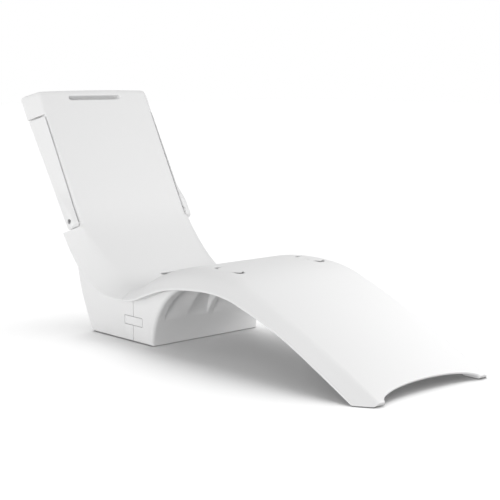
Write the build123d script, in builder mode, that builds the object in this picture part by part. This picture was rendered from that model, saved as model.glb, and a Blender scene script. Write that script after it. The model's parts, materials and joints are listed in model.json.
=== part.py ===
"""In-pool sun lounger: two hollow moulded sections, two folding arms, keys, plugs and pads.

Millimetres. +X is the width, +Z is up, the foot tips point to -Y and the head to +Y.
The origin is on the floor under the middle of the lounger's box.
The side profile is drawn in a plane of its own: its first axis runs from the foot tips
towards the head, its second axis is the height above the floor.
"""
from build123d import *

import os
from math import cos, radians, sin, tan

os.makedirs("parts", exist_ok=True)

# Top face in side view: a chain of tangent arcs from the foot tips to the straight back
tip_height = 15
tip_slope = 28.8
leg_radius, leg_turn = 5411, -6.8
hump_radius, hump_turn = 641, -54.3
seat_radius, seat_turn = 197, 69.3
lower_back_radius, lower_back_turn = 1100, 9
upper_back_radius, upper_back_turn = 563, 15
back_straight = 528

# Depth of the bevel's lower edge under the top face, square to it, from foot to head
tip_bevel_depth = 44
leg_bevel_depth = 51
knee_bevel_depth = 54
hump_bevel_depth = 75
lap_bevel_depth = 56
seat_bevel_depth = 40
hip_bevel_depth = 64
waist_bevel_depth = 63
back_bevel_depth = 54
head_bevel_depth = 50
lip_thickness = 12

# Widths and walls
crease_half_width = 266
lip_half_width = 318
wall = 6
hollow_start = 150

# Base
pad_proud = 2.5
vault_radius = 252
vault_setback = 872
rear_wall_lean = 122.773
rear_wall_low_height, rear_wall_low_lean = 130, 59
rear_wall_high_height, rear_wall_high_lean = 255, 93
seam_from_vault = 115
seam_gap = 0.8

# Ribbed front wall: scooped bays between ribs
scoop_radius = 211
scoop_shift = 66
scoop_direction = 57
side_rib = 44
middle_rib = 22
bay_rib = 16
bays_a_side = 2

# Foot end: an arch between the tips, and a ramp under it
arch_half_width = 237
arch_depth = 47
foot_edge = 10

# Hand slots, handle, ballast slot and the head's crown
hump_slot_inset = 199
hump_slot_length, hump_slot_width = 142, 42
hump_slot_before_crest = 53
handle_length, handle_height = 256, 26
handle_from_top = 40
ballast_slot_length, ballast_slot_width = 78, 18
ballast_slot_from_seam = 129
crown_rise = 11
head_trim = 2

# Arms and their notches
arm_width = 32
arm_depth = 46
arm_tail_corner = 16
arm_top_corner = 10
arm_edge = 7
arm_above_pivot = 451
arm_tail = 36
arm_gap = 4
pivot_below_back = 42.6
pivot_depth = 23
notch_above_arm = 4
shelf_below_pivot = 41

# Arm pivots
shank_radius = 5
thread_radius = 4
running_clearance = 0.05
bush_radius = 7
bush_flange_radius = 11
flange_gap = 0.4
bolt_head_radius, bolt_head_height = 8, 5
counterbore_radius, counterbore_depth = 10.5, 8
washer_radius, washer_thickness = 9, 1.2
washer_gap = 0.3
socket_radius, socket_depth = 3, 3
insert_radius, insert_length = 9, 20
thread_length = 18
boss_wall = 8
stop_orbit = 16
stop_radius = 3.4
stop_gap = 0.3
stop_length = 8
stop_bearing = 150
arm_swing = 119

# Keys across the seam
key_length, key_height, key_depth = 110, 31, 12
key_corner = 4
key_gap = 0.8
key_seat_gap = 0.3
key_centre_height = 82
key_stud_radius, key_stud_length = 7, 16
key_stud_spacing = 72
finger_groove_radius, finger_groove_inset = 3, 9
tongue_width, tongue_height, tongue_length = 360, 30, 16
tongue_gap = 0.6
tongue_centre_height = 130

# Ballast plugs, their seals and collars
plug_flange_radius, plug_flange_height = 17, 5
plug_spigot_radius, plug_spigot_length = 10, 14
plug_gap = 0.4
plug_grip_width, plug_grip_height = 6, 7
collar_radius, collar_length = 18, 20
seal_radius = 1.5
seal_orbit = 14
seal_groove_width, seal_groove_depth = 3.2, 2.9
plug_height = 42
front_plug_from_vault = 46
rear_plug_from_rear = 68

# Grip pads
pad_length, pad_width, pad_thickness = 60, 38, 6
pad_corner = 8
pad_gap = 0.3
pad_stud_radius, pad_stud_length = 5, 9
pad_side_inset = 38
pad_end_inset = 42
tip_pad_length, tip_pad_width, tip_pad_corner = 44, 26, 6
tip_pad_from_end = 40
tip_pad_side = 262

# How far a cut runs past what it cuts
overrun = 20

# Arcs of the top face, each with the number of steps that it is divided into
TOP_ARCS = [
    (leg_radius, leg_turn, 3),
    (hump_radius, hump_turn, 4),
    (seat_radius, seat_turn, 5),
    (lower_back_radius, lower_back_turn, 1),
    (upper_back_radius, upper_back_turn, 2),
]
STRAIGHT_STEPS = 2
BEVEL_DEPTHS = [
    tip_bevel_depth,
    leg_bevel_depth,
    leg_bevel_depth,
    knee_bevel_depth,
    (knee_bevel_depth + hump_bevel_depth) / 2,
    hump_bevel_depth,
    (hump_bevel_depth + lap_bevel_depth) / 2,
    lap_bevel_depth,
    (lap_bevel_depth + seat_bevel_depth) / 2,
    seat_bevel_depth,
    seat_bevel_depth,
    (seat_bevel_depth + hip_bevel_depth) / 2,
    hip_bevel_depth,
    waist_bevel_depth,
    (waist_bevel_depth + back_bevel_depth) / 2,
    back_bevel_depth,
    (back_bevel_depth + head_bevel_depth) / 2,
    head_bevel_depth,
]
RAMP_END, KNEE, CREST, SEAT, WAIST, BACK, HEAD = 2, 3, 5, 9, 14, 15, 17
SIDES = {"left": -1, "right": 1}


def stepped(point, angle, distance):
    """The point at a distance from another, at an angle above the floor, in side view."""
    return (point[0] + distance * cos(radians(angle)), point[1] + distance * sin(radians(angle)))


def top_stations():
    """Points on the top face in side view, each with the slope there."""
    point, slope = (0, tip_height), tip_slope
    stations = [(point, slope)]
    for radius, turn, steps in TOP_ARCS:
        side = 90 if turn > 0 else -90
        for _ in range(steps):
            centre = stepped(point, slope + side, radius)
            slope += turn / steps
            point = stepped(centre, slope + side, -radius)
            stations.append((point, slope))
    for _ in range(STRAIGHT_STEPS):
        point = stepped(point, slope, (back_straight + head_trim) / STRAIGHT_STEPS)
        stations.append((point, slope))
    return stations


STATIONS = top_stations()


def under(station, share, extra):
    """The point under a station at a share of the bevel's depth plus an extra depth."""
    point, slope = STATIONS[station]
    return stepped(point, slope - 90, share * BEVEL_DEPTHS[station] + extra)


# Places that follow from the sizes
back_foot, back_angle = STATIONS[BACK]
crest = STATIONS[KNEE][0][0] + hump_radius * sin(radians(STATIONS[KNEE][1]))
head_top = stepped(back_foot, back_angle, back_straight)
overall_length = stepped(head_top, back_angle - 90, head_bevel_depth + lip_thickness)[0]
foot_y = -overall_length / 2
vault_foot = vault_setback + vault_radius
seam = vault_foot + seam_from_vault
base_rear = under(WAIST, 1, lip_thickness)[0] - rear_wall_lean
core_width = 2 * crease_half_width
full_width = 2 * lip_half_width
arm_inner = crease_half_width + arm_gap
arm_outer = arm_inner + arm_width
pivot = stepped(stepped(back_foot, back_angle, -pivot_below_back), back_angle - 90, pivot_depth)
counterbore_floor = arm_outer - counterbore_depth
head_seat = counterbore_floor + washer_gap + washer_thickness
key_seat = crease_half_width - key_depth
front_plug_place = (vault_foot + front_plug_from_vault, plug_height)
rear_plug_place = (base_rear - rear_plug_from_rear, plug_height)
crown_radius = (lip_half_width**2 + crown_rise**2) / (2 * crown_rise)
front_pad_place = (crease_half_width - pad_side_inset, foot_y + vault_foot + pad_end_inset)
rear_pad_place = (crease_half_width - pad_side_inset, foot_y + base_rear - pad_end_inset)
tip_pad_place = (tip_pad_side, foot_y + tip_pad_from_end)

# Side view: its first axis runs from the foot tips to the head, its second axis is up
PROFILE = Plane(origin=(0, foot_y, 0), x_dir=(0, 1, 0), z_dir=(1, 0, 0))
# Front face of the back: its second axis runs up the back, its third one out of the face
BACK_FACE = Plane(
    origin=(0, foot_y + back_foot[0], back_foot[1]),
    x_dir=(1, 0, 0),
    z_dir=(0, -sin(radians(back_angle)), cos(radians(back_angle))),
)
# Side view of an arm from its pivot: up the back, then out of the back's front face
ARM_SIDE = Plane(
    origin=(0, foot_y + pivot[0], pivot[1]),
    x_dir=(0, cos(radians(back_angle)), sin(radians(back_angle))),
    z_dir=(1, 0, 0),
)
# The seam between the sections, seen from the foot end, with its second axis up
SEAM = Plane(origin=(0, foot_y + seam, 0), x_dir=(-1, 0, 0), z_dir=(0, 1, 0))
GROUND = Plane.XY


def slab_outline(top_share, top_extra, low_share, low_extra):
    """Side view of the slab between two lines that follow the top face."""
    top = [under(station, top_share, top_extra) for station in range(len(STATIONS))]
    low = [under(station, low_share, low_extra) for station in range(len(STATIONS))]
    with BuildSketch() as outline:
        with BuildLine():
            Spline(*top)
            Line(top[-1], low[-1])
            Spline(*low)
            Line(low[0], top[0])
        make_face()
    return outline.sketch


def base_outline(inset):
    """Side view of the base under the slab, drawn in by an inset."""
    floor = pad_proud + inset
    radius = vault_radius + inset
    vault_top = (vault_setback, radius)
    vault_low = (vault_setback + (radius**2 - floor**2) ** 0.5, floor)
    vault_middle = stepped((vault_setback, 0), 45, radius)
    rear_wall = [
        (base_rear - inset, floor),
        (base_rear + rear_wall_low_lean - inset, rear_wall_low_height),
        (base_rear + rear_wall_high_lean - inset, rear_wall_high_height),
        under(WAIST, 1, lip_thickness - inset),
    ]
    inside_slab = [under(station, 0.5, 0) for station in range(WAIST, CREST - 1, -1)]
    with BuildSketch() as outline:
        with BuildLine():
            ThreePointArc(vault_top, vault_middle, vault_low)
            Line(vault_low, rear_wall[0])
            Spline(*rear_wall)
            Polyline(rear_wall[-1], *inside_slab, vault_top)
        make_face()
    return outline.sketch


def scooped_bays(margin):
    """Scooped bays of the front wall, widened by a margin."""
    inner, outer = middle_rib / 2, crease_half_width - side_rib
    bay = (outer - inner - (bays_a_side - 1) * bay_rib) / bays_a_side
    with BuildPart() as bays:
        for side in SIDES.values():
            for number in range(bays_a_side):
                start = inner + number * (bay + bay_rib) - margin
                with BuildSketch(PROFILE.offset(side * start)):
                    with Locations(stepped((vault_setback, 0), scoop_direction, scoop_shift)):
                        Circle(scoop_radius + margin)
                extrude(amount=side * (bay + 2 * margin))
    return bays.part


def ramp_space(margin):
    """The space between the foot tips under the leg rest, widened by a margin."""
    end = under(RAMP_END, 1, lip_thickness)
    start = (arch_depth, tip_height + arch_depth * tan(radians(tip_slope)) - foot_edge)
    slope = (end[1] - start[1]) / (end[0] - start[0])
    with BuildPart() as space:
        with BuildSketch(PROFILE):
            with BuildLine():
                Polyline(
                    (-overrun, start[1] - slope * (start[0] + overrun) + margin),
                    (end[0], end[1] + margin),
                    (end[0], -overrun),
                    (-overrun, -overrun),
                    close=True,
                )
            make_face()
        extrude(amount=arch_half_width + margin, both=True)
    return space.part


def hand_slots(margin):
    """The two hand slots through the hump, widened by a margin."""
    along = foot_y + crest - hump_slot_before_crest
    with BuildPart() as slots:
        with BuildSketch(GROUND):
            with Locations((-hump_slot_inset, along), (hump_slot_inset, along)):
                SlotOverall(
                    hump_slot_length + 2 * margin,
                    hump_slot_width + 2 * margin,
                    rotation=90,
                )
        extrude(amount=STATIONS[CREST][0][1] + overrun)
    return slots.part


def handle_slot(margin):
    """The handle's slot through the head, widened by a margin."""
    with BuildPart() as slot:
        with BuildSketch(BACK_FACE):
            with Locations((0, back_straight - handle_from_top)):
                SlotOverall(handle_length + 2 * margin, handle_height + 2 * margin)
        extrude(amount=head_bevel_depth + lip_thickness + overrun, both=True)
    return slot.part


def key_pockets(margin):
    """The pockets for both keys, with their stud sockets, widened by a margin."""
    gap = key_gap + margin
    with BuildPart() as pockets:
        for side in SIDES.values():
            with BuildSketch(PROFILE.offset(side * crease_half_width)):
                with Locations((seam, key_centre_height)):
                    RectangleRounded(key_length + 2 * gap, key_height + 2 * gap, key_corner + gap)
            extrude(amount=-side * (key_depth + key_seat_gap + margin))
            with BuildSketch(PROFILE.offset(side * crease_half_width)):
                with Locations((seam, key_centre_height)):
                    with GridLocations(key_stud_spacing, 0, 2, 1):
                        Circle(key_stud_radius + key_seat_gap + margin)
            extrude(amount=-side * (key_depth + key_stud_length + 2 * key_seat_gap + margin))
    return pockets.part


def tongue_block(margin):
    """The tongue across the seam that lines the sections up, widened by a margin."""
    with BuildPart() as block:
        with BuildSketch(SEAM.offset(-seam_gap)):
            with Locations((0, tongue_centre_height)):
                Rectangle(tongue_width + 2 * margin, tongue_height + 2 * margin)
        extrude(amount=tongue_length + seam_gap + margin)
    return block.part


def plug_bore(place, radius, depth):
    """A bore from the right side of the base for a plug's collar."""
    with BuildPart() as bore:
        with BuildSketch(PROFILE.offset(crease_half_width)):
            with Locations(place):
                Circle(radius)
        extrude(amount=-depth)
    return bore.part


def insert_bores(radius, depth):
    """The bores of the arm inserts in both notch walls."""
    with BuildPart() as bores:
        for side in SIDES.values():
            with BuildSketch(PROFILE.offset(side * crease_half_width)):
                with Locations(pivot):
                    Circle(radius)
            extrude(amount=-side * depth)
    return bores.part


def pad_recesses(place, length, width, corner):
    """The recesses of a pair of pads and the bores of their studs."""
    places = [(-place[0], place[1]), place]
    with BuildPart() as recesses:
        with BuildSketch(GROUND.offset(pad_proud)):
            with Locations(*places):
                RectangleRounded(width + 2 * pad_gap, length + 2 * pad_gap, corner + pad_gap)
        extrude(amount=pad_thickness - pad_proud)
        with BuildSketch(GROUND.offset(pad_thickness)):
            with Locations(*places):
                Circle(pad_stud_radius)
        extrude(amount=pad_stud_length)
    return recesses.part


# Shapes that the blocks below share
full_slab = slab_outline(0, 0, 1, lip_thickness)
lip_slab = slab_outline(1, 0, 1, lip_thickness)
hollow_slab = slab_outline(0, wall, 1, lip_thickness - wall)
full_base = base_outline(0)
hollow_base = base_outline(wall)
bays, bay_walls = scooped_bays(0), scooped_bays(wall)
ramp, ramp_walls = ramp_space(0), ramp_space(wall)
slots, slot_walls = hand_slots(0), hand_slots(wall)
handle, handle_walls = handle_slot(0), handle_slot(wall)
pockets, pocket_walls = key_pockets(0), key_pockets(wall)
tongue, socket, socket_walls = tongue_block(0), tongue_block(tongue_gap), tongue_block(wall)
bore_depth = collar_length + wall + overrun
front_bore = plug_bore(front_plug_place, collar_radius, bore_depth)
rear_bore = plug_bore(rear_plug_place, collar_radius, bore_depth)
front_boss = plug_bore(front_plug_place, collar_radius + wall, collar_length + wall)
rear_boss = plug_bore(rear_plug_place, collar_radius + wall, collar_length + wall)
inserts = insert_bores(insert_radius, insert_length)
insert_bosses = insert_bores(insert_radius + boss_wall, insert_length + boss_wall)
front_recesses = pad_recesses(front_pad_place, pad_length, pad_width, pad_corner)
rear_recesses = pad_recesses(rear_pad_place, pad_length, pad_width, pad_corner)
tip_recesses = pad_recesses(tip_pad_place, tip_pad_length, tip_pad_width, tip_pad_corner)
stop_path = CenterArc((0, 0), stop_orbit, stop_bearing - arm_swing, arm_swing)

# Outer shape of both sections: core, base and the two bevelled edges, flat underneath
with BuildPart() as body:
    with BuildSketch(PROFILE):
        add(full_slab)
        add(full_base)
    extrude(amount=crease_half_width, both=True)
    for side in SIDES.values():
        with BuildSketch(PROFILE.offset(side * crease_half_width)):
            add(full_slab)
        with BuildSketch(PROFILE.offset(side * lip_half_width)):
            add(lip_slab)
        loft(ruled=True)
    with BuildSketch(GROUND.offset(pad_proud)):
        Rectangle(full_width + overrun, overall_length + overrun)
    extrude(amount=-(tip_bevel_depth + overrun), mode=Mode.SUBTRACT)

# The space inside both sections, without the walls round slots, pockets and bosses
with BuildPart() as hollow:
    with BuildSketch(PROFILE):
        add(hollow_slab)
        add(hollow_base)
    extrude(amount=crease_half_width - wall, both=True)
    with BuildSketch(PROFILE):
        with Locations((hollow_start, 0)):
            Rectangle(hollow_start + overrun, overall_length, align=(Align.MAX, Align.CENTER))
    extrude(amount=crease_half_width, both=True, mode=Mode.SUBTRACT)
    with BuildSketch(BACK_FACE):
        with Locations((0, back_straight)):
            Rectangle(core_width, 2 * handle_from_top)
    extrude(amount=head_bevel_depth + lip_thickness + overrun, both=True, mode=Mode.SUBTRACT)
    with BuildSketch(SEAM.offset(-seam_gap / 2 - wall)):
        Rectangle(core_width, overall_length)
    extrude(amount=seam_gap + 2 * wall, mode=Mode.SUBTRACT)
    for walls in (bay_walls, ramp_walls, slot_walls, handle_walls, pocket_walls, socket_walls):
        add(walls, mode=Mode.SUBTRACT)
    for boss in (front_boss, rear_boss, insert_bosses):
        add(boss, mode=Mode.SUBTRACT)
    with BuildSketch(GROUND):
        for place in (front_pad_place, rear_pad_place):
            with Locations((-place[0], place[1]), place):
                Rectangle(pad_width + 2 * wall, pad_length + 2 * wall)
    extrude(amount=pad_thickness + pad_stud_length + wall, mode=Mode.SUBTRACT)

# Front section: leg rest, hump and the front half of the base, with the tongue
with BuildPart() as front_section:
    add(body.part)
    split(bisect_by=SEAM.offset(-seam_gap / 2), keep=Keep.BOTTOM)
    with BuildSketch(GROUND):
        with Locations((0, foot_y)):
            Ellipse(arch_half_width, arch_depth)
    extrude(amount=STATIONS[1][0][1], mode=Mode.SUBTRACT)
    for cut in (ramp, bays, slots, hollow.part):
        add(cut, mode=Mode.SUBTRACT)
    add(tongue)
    for cut in (pockets, front_bore, front_recesses, tip_recesses):
        add(cut, mode=Mode.SUBTRACT)
front_section.part.label = "front_section"
export_step(front_section.part, "parts/front_section.step")

# Rear section: seat, back with the arm notches, head and the rear half of the base
with BuildPart() as rear_section:
    add(body.part)
    split(bisect_by=SEAM.offset(seam_gap / 2), keep=Keep.TOP)
    with BuildSketch(BACK_FACE):
        with Locations((0, back_straight)):
            Rectangle(full_width + overrun, 2 * handle_from_top)
        with Locations((0, back_straight - crown_radius)):
            Circle(crown_radius, mode=Mode.SUBTRACT)
    extrude(amount=2 * head_bevel_depth, both=True, mode=Mode.SUBTRACT)
    for side in SIDES.values():
        with BuildSketch(BACK_FACE):
            with Locations((side * crease_half_width, -pivot_below_back - shelf_below_pivot)):
                Rectangle(
                    lip_half_width,
                    shelf_below_pivot + arm_above_pivot + notch_above_arm,
                    align=(Align.MIN if side > 0 else Align.MAX, Align.MIN),
                )
        extrude(amount=2 * waist_bevel_depth, both=True, mode=Mode.SUBTRACT)
    for cut in (handle, hollow.part):
        add(cut, mode=Mode.SUBTRACT)
    with BuildSketch(GROUND.offset(STATIONS[SEAT][0][1])):
        with Locations((0, foot_y + seam + ballast_slot_from_seam)):
            SlotOverall(ballast_slot_length, ballast_slot_width)
    extrude(amount=seat_bevel_depth + overrun, both=True, mode=Mode.SUBTRACT)
    for cut in (socket, pockets, inserts, rear_bore, rear_recesses):
        add(cut, mode=Mode.SUBTRACT)
    for side in SIDES.values():
        with BuildSketch(ARM_SIDE.offset(side * crease_half_width)):
            with PolarLocations(stop_orbit, 1, start_angle=stop_bearing):
                Circle(stop_radius)
        extrude(amount=side * stop_length)
rear_section.part.label = "rear_section"
export_step(rear_section.part, "parts/rear_section.step")

for name, side in SIDES.items():
    # Arm, stowed in its notch, with its bore, counterbore and stop groove
    with BuildPart() as arm:
        with BuildSketch(ARM_SIDE.offset(side * arm_inner)) as outline:
            with Locations((-arm_tail, pivot_depth)):
                Rectangle(arm_tail + arm_above_pivot, arm_depth, align=(Align.MIN, Align.MAX))
            fillet(outline.vertices().group_by(Axis.X)[0], arm_tail_corner)
            fillet(outline.vertices().group_by(Axis.X)[-1], arm_top_corner)
        extrude(amount=side * arm_width)
        outer_face = arm.faces().sort_by(Axis.X)[-1 if side > 0 else 0]
        fillet(outer_face.edges(), arm_edge)
        with BuildSketch(ARM_SIDE.offset(side * arm_inner)):
            Circle(bush_radius)
        extrude(amount=side * arm_width, mode=Mode.SUBTRACT)
        with BuildSketch(ARM_SIDE.offset(side * counterbore_floor)):
            Circle(counterbore_radius)
        extrude(amount=side * counterbore_depth, mode=Mode.SUBTRACT)
        with BuildSketch(ARM_SIDE.offset(side * arm_inner)):
            SlotArc(stop_path, 2 * (stop_radius + stop_gap))
        extrude(amount=side * (stop_length - arm_gap + stop_gap), mode=Mode.SUBTRACT)
    arm.part.label = f"{name}_arm"
    export_step(arm.part, f"parts/{name}_arm.step")

    # Flanged bush in the arm
    with BuildPart() as bush:
        with BuildSketch(ARM_SIDE.offset(side * arm_inner)):
            Circle(bush_radius)
        extrude(amount=side * (counterbore_floor - arm_inner))
        with BuildSketch(ARM_SIDE.offset(side * arm_inner)):
            Circle(bush_flange_radius)
        extrude(amount=side * (flange_gap - arm_gap))
        with BuildSketch(ARM_SIDE.offset(side * crease_half_width)):
            Circle(shank_radius + running_clearance)
        extrude(amount=side * arm_width, mode=Mode.SUBTRACT)
    bush.part.label = f"{name}_bush"
    export_step(bush.part, f"parts/{name}_bush.step")

    # Shoulder bolt: socket head, plain shank in the bush, thread in the insert
    with BuildPart() as bolt:
        with BuildSketch(ARM_SIDE.offset(side * head_seat)):
            Circle(bolt_head_radius)
        extrude(amount=side * bolt_head_height)
        with BuildSketch(ARM_SIDE.offset(side * crease_half_width)):
            Circle(shank_radius)
        extrude(amount=side * (head_seat - crease_half_width))
        with BuildSketch(ARM_SIDE.offset(side * crease_half_width)):
            Circle(thread_radius)
        extrude(amount=-side * thread_length)
        with BuildSketch(ARM_SIDE.offset(side * (head_seat + bolt_head_height))):
            RegularPolygon(socket_radius, 6)
        extrude(amount=-side * socket_depth, mode=Mode.SUBTRACT)
    bolt.part.label = f"{name}_bolt"
    export_step(bolt.part, f"parts/{name}_bolt.step")

    # Washer under the bolt head
    with BuildPart() as washer:
        with BuildSketch(ARM_SIDE.offset(side * head_seat)):
            Circle(washer_radius)
            Circle(shank_radius, mode=Mode.SUBTRACT)
        extrude(amount=-side * washer_thickness)
    washer.part.label = f"{name}_washer"
    export_step(washer.part, f"parts/{name}_washer.step")

    # Threaded insert moulded into the notch wall
    with BuildPart() as insert:
        with BuildSketch(ARM_SIDE.offset(side * crease_half_width)):
            Circle(insert_radius)
            Circle(thread_radius, mode=Mode.SUBTRACT)
        extrude(amount=-side * insert_length)
    insert.part.label = f"{name}_insert"
    export_step(insert.part, f"parts/{name}_insert.step")

    # Key across the seam: a rounded block with two studs and a finger groove
    with BuildPart() as key:
        with BuildSketch(PROFILE.offset(side * key_seat)):
            with Locations((seam, key_centre_height)):
                RectangleRounded(key_length, key_height, key_corner)
        extrude(amount=side * key_depth)
        with BuildSketch(PROFILE.offset(side * key_seat)):
            with Locations((seam, key_centre_height)):
                with GridLocations(key_stud_spacing, 0, 2, 1):
                    Circle(key_stud_radius)
        extrude(amount=-side * key_stud_length)
        with BuildSketch(GROUND.offset(key_centre_height)):
            groove = foot_y + seam + key_length / 2 - finger_groove_inset
            with Locations((side * crease_half_width, groove)):
                Circle(finger_groove_radius)
        extrude(amount=key_height, both=True, mode=Mode.SUBTRACT)
    key.part.label = f"{name}_key"
    export_step(key.part, f"parts/{name}_key.step")

    # Grip pads with their push-in studs
    for pad_name, place, length, width, corner in (
        (f"front_{name}_pad", front_pad_place, pad_length, pad_width, pad_corner),
        (f"rear_{name}_pad", rear_pad_place, pad_length, pad_width, pad_corner),
        (f"{name}_tip_pad", tip_pad_place, tip_pad_length, tip_pad_width, tip_pad_corner),
    ):
        with BuildPart() as pad:
            with BuildSketch(GROUND):
                with Locations((side * place[0], place[1])):
                    RectangleRounded(width, length, corner)
            extrude(amount=pad_thickness)
            with BuildSketch(GROUND.offset(pad_thickness)):
                with Locations((side * place[0], place[1])):
                    Circle(pad_stud_radius)
            extrude(amount=pad_stud_length)
        pad.part.label = pad_name
        export_step(pad.part, f"parts/{pad_name}.step")

for name, place in (("front", front_plug_place), ("rear", rear_plug_place)):
    # Collar moulded into the side wall, with its bore and the seal's groove
    with BuildPart() as collar:
        with BuildSketch(PROFILE.offset(crease_half_width)):
            with Locations(place):
                Circle(collar_radius)
                Circle(plug_spigot_radius + plug_gap, mode=Mode.SUBTRACT)
        extrude(amount=-collar_length)
        with BuildSketch(PROFILE.offset(crease_half_width)):
            with Locations(place):
                Circle(seal_orbit + seal_groove_width / 2)
                Circle(seal_orbit - seal_groove_width / 2, mode=Mode.SUBTRACT)
        extrude(amount=-seal_groove_depth, mode=Mode.SUBTRACT)
    collar.part.label = f"{name}_collar"
    export_step(collar.part, f"parts/{name}_collar.step")

    # O-ring under the plug's flange, in the collar's groove
    with BuildPart() as seal:
        plane = Plane(
            origin=(crease_half_width + plug_gap - seal_radius, foot_y + place[0], place[1]),
            x_dir=(1, 0, 0),
            z_dir=(0, 0, 1),
        )
        with BuildSketch(plane):
            with Locations((0, seal_orbit)):
                Circle(seal_radius)
        revolve(axis=Axis(plane.origin, (1, 0, 0)))
    seal.part.label = f"{name}_seal"
    export_step(seal.part, f"parts/{name}_seal.step")

    # Quarter-turn plug: flange, spigot and a grip bar
    with BuildPart() as plug:
        with BuildSketch(PROFILE.offset(crease_half_width + plug_gap)):
            with Locations(place):
                Circle(plug_flange_radius)
        extrude(amount=plug_flange_height)
        with BuildSketch(PROFILE.offset(crease_half_width + plug_gap)):
            with Locations(place):
                Circle(plug_spigot_radius)
        extrude(amount=-plug_spigot_length)
        with BuildSketch(PROFILE.offset(crease_half_width + plug_gap + plug_flange_height)):
            with Locations(place):
                SlotOverall(2 * plug_flange_radius - plug_grip_width, plug_grip_width)
        extrude(amount=plug_grip_height)
    plug.part.label = f"{name}_plug"
    export_step(plug.part, f"parts/{name}_plug.step")
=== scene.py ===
"""Looks of an in-pool sun lounger: moulded sections, arms, keys, plugs, pads and a white studio."""
import json
import math

import bmesh
import bpy
import numpy as np
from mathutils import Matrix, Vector


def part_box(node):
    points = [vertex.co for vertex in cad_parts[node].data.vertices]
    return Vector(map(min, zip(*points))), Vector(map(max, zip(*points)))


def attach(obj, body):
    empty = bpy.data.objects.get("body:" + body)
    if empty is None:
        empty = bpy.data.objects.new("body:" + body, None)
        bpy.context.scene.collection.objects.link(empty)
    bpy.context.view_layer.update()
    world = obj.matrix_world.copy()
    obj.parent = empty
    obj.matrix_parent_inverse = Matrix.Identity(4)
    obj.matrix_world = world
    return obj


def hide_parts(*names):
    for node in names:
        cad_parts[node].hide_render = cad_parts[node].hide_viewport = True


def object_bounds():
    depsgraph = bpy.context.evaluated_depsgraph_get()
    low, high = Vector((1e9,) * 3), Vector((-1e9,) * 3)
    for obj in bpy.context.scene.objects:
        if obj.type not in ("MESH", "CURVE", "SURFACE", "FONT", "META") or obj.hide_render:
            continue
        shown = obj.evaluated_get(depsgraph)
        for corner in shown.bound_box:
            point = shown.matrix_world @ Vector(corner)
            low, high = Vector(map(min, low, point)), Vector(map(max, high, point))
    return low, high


bl_info = {
    "name": "In-pool sun lounger",
    "version": (1, 0, 0),
    "blender": (4, 5, 0),
    "location": "View3D > Sidebar > Lounger",
    "description": "Builds the visual pieces of a moulded lounger around its packed solids",
    "category": "Object",
}

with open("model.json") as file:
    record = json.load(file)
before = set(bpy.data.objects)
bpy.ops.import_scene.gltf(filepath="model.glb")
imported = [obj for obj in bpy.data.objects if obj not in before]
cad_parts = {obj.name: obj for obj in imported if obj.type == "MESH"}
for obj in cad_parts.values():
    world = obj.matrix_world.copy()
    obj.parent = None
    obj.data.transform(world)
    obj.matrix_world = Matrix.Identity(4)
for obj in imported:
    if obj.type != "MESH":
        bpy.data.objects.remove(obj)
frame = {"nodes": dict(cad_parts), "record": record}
CAD_BOX = [list(corner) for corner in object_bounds()]
MM = 0.001
FOOT_Y = CAD_BOX[0][1] / MM

# Top face in side view: the lengths and turns of its arcs from the foot tips to the head
TIP_HEIGHT, TIP_SLOPE = 15.0, 28.8
ARCS = ((5411.0, -6.8), (641.0, -54.3), (197.0, 69.3), (1100.0, 9.0), (563.0, 15.0))
BACK_STRAIGHT = 528.0

# Bevel depth along the top face, as pairs of path length and depth
BEVEL = ((0, 38), (120, 37.5), (240, 35.5), (420, 34), (480, 36.5), (600, 45.5), (660, 50.5), (720, 56.4),
         (780, 60.5), (840, 63.1), (900, 66), (960, 67), (1020, 65), (1080, 62.5), (1140, 61), (1200, 57.5),
         (1260, 49), (1320, 40), (1380, 38), (1440, 49), (1500, 64), (1560, 70), (1661, 68), (1734, 63),
         (1808, 59), (2072, 57), (2340, 55))
# Softness of the crease along the top face, as pairs of path length and blend length
CREASE = ((0, 9), (150, 10), (420, 12), (560, 18), (680, 30), (800, 48), (950, 58), (1150, 58),
          (1350, 56), (1500, 52), (1620, 34), (1700, 14), (1800, 9), (2340, 9))
# Half widths at the crease and at the lip, and the height of the lip
CREASE_X, LIP_X, LIP = 266.0, 318.0, 7.0
# Height of the gap under the base, which the pads leave
FLOOR = 2.5
# The arch between the foot tips, and the place and height at which the ramp under it ends
ARCH_X, ARCH_DEPTH, FOOT_EDGE, RAMP_END = 237.0, 47.0, 10.0, (350.0, 133.0)
# The vault's middle, radius and foot, and the seam between the sections with half its gap
VAULT_U, VAULT_R, VAULT_FOOT = 872.0, 252.0, 1124.0
SEAM_U, SEAM_GAP = 1239.0, 1.2
# The crest of the knee hump is eased down between the first and last of these path lengths, by this much
CREST, CREST_EASE = (680.0, 920.0, 1000.0, 1290.0), 8.0


def eased(share):
    """A share from 0 to 1 with a soft start and end."""
    return share * share * (3 - 2 * share)


def path_table():
    """Dense table of the top face: path length, place, height and slope."""
    lengths, slopes = [0.0], [TIP_SLOPE]
    for radius, turn in ARCS:
        lengths.append(lengths[-1] + radius * math.radians(abs(turn)))
        slopes.append(slopes[-1] + turn)
    lengths.append(lengths[-1] + BACK_STRAIGHT)
    slopes.append(slopes[-1])
    step = 0.5
    s = np.arange(0, lengths[-1] + step, step)
    angle = np.radians(np.interp(s + step / 2, lengths, slopes))
    u = np.concatenate([[0], np.cumsum(np.cos(angle) * step)[:-1]])
    z = TIP_HEIGHT + np.concatenate([[0], np.cumsum(np.sin(angle) * step)[:-1]])
    rise = np.clip((s - CREST[0]) / (CREST[1] - CREST[0]), 0, 1)
    fall = np.clip((CREST[3] - s) / (CREST[3] - CREST[2]), 0, 1)
    z = z - CREST_EASE * eased(rise * fall)
    return s, u, z, np.radians(np.interp(s, lengths, slopes)), lengths


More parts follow.
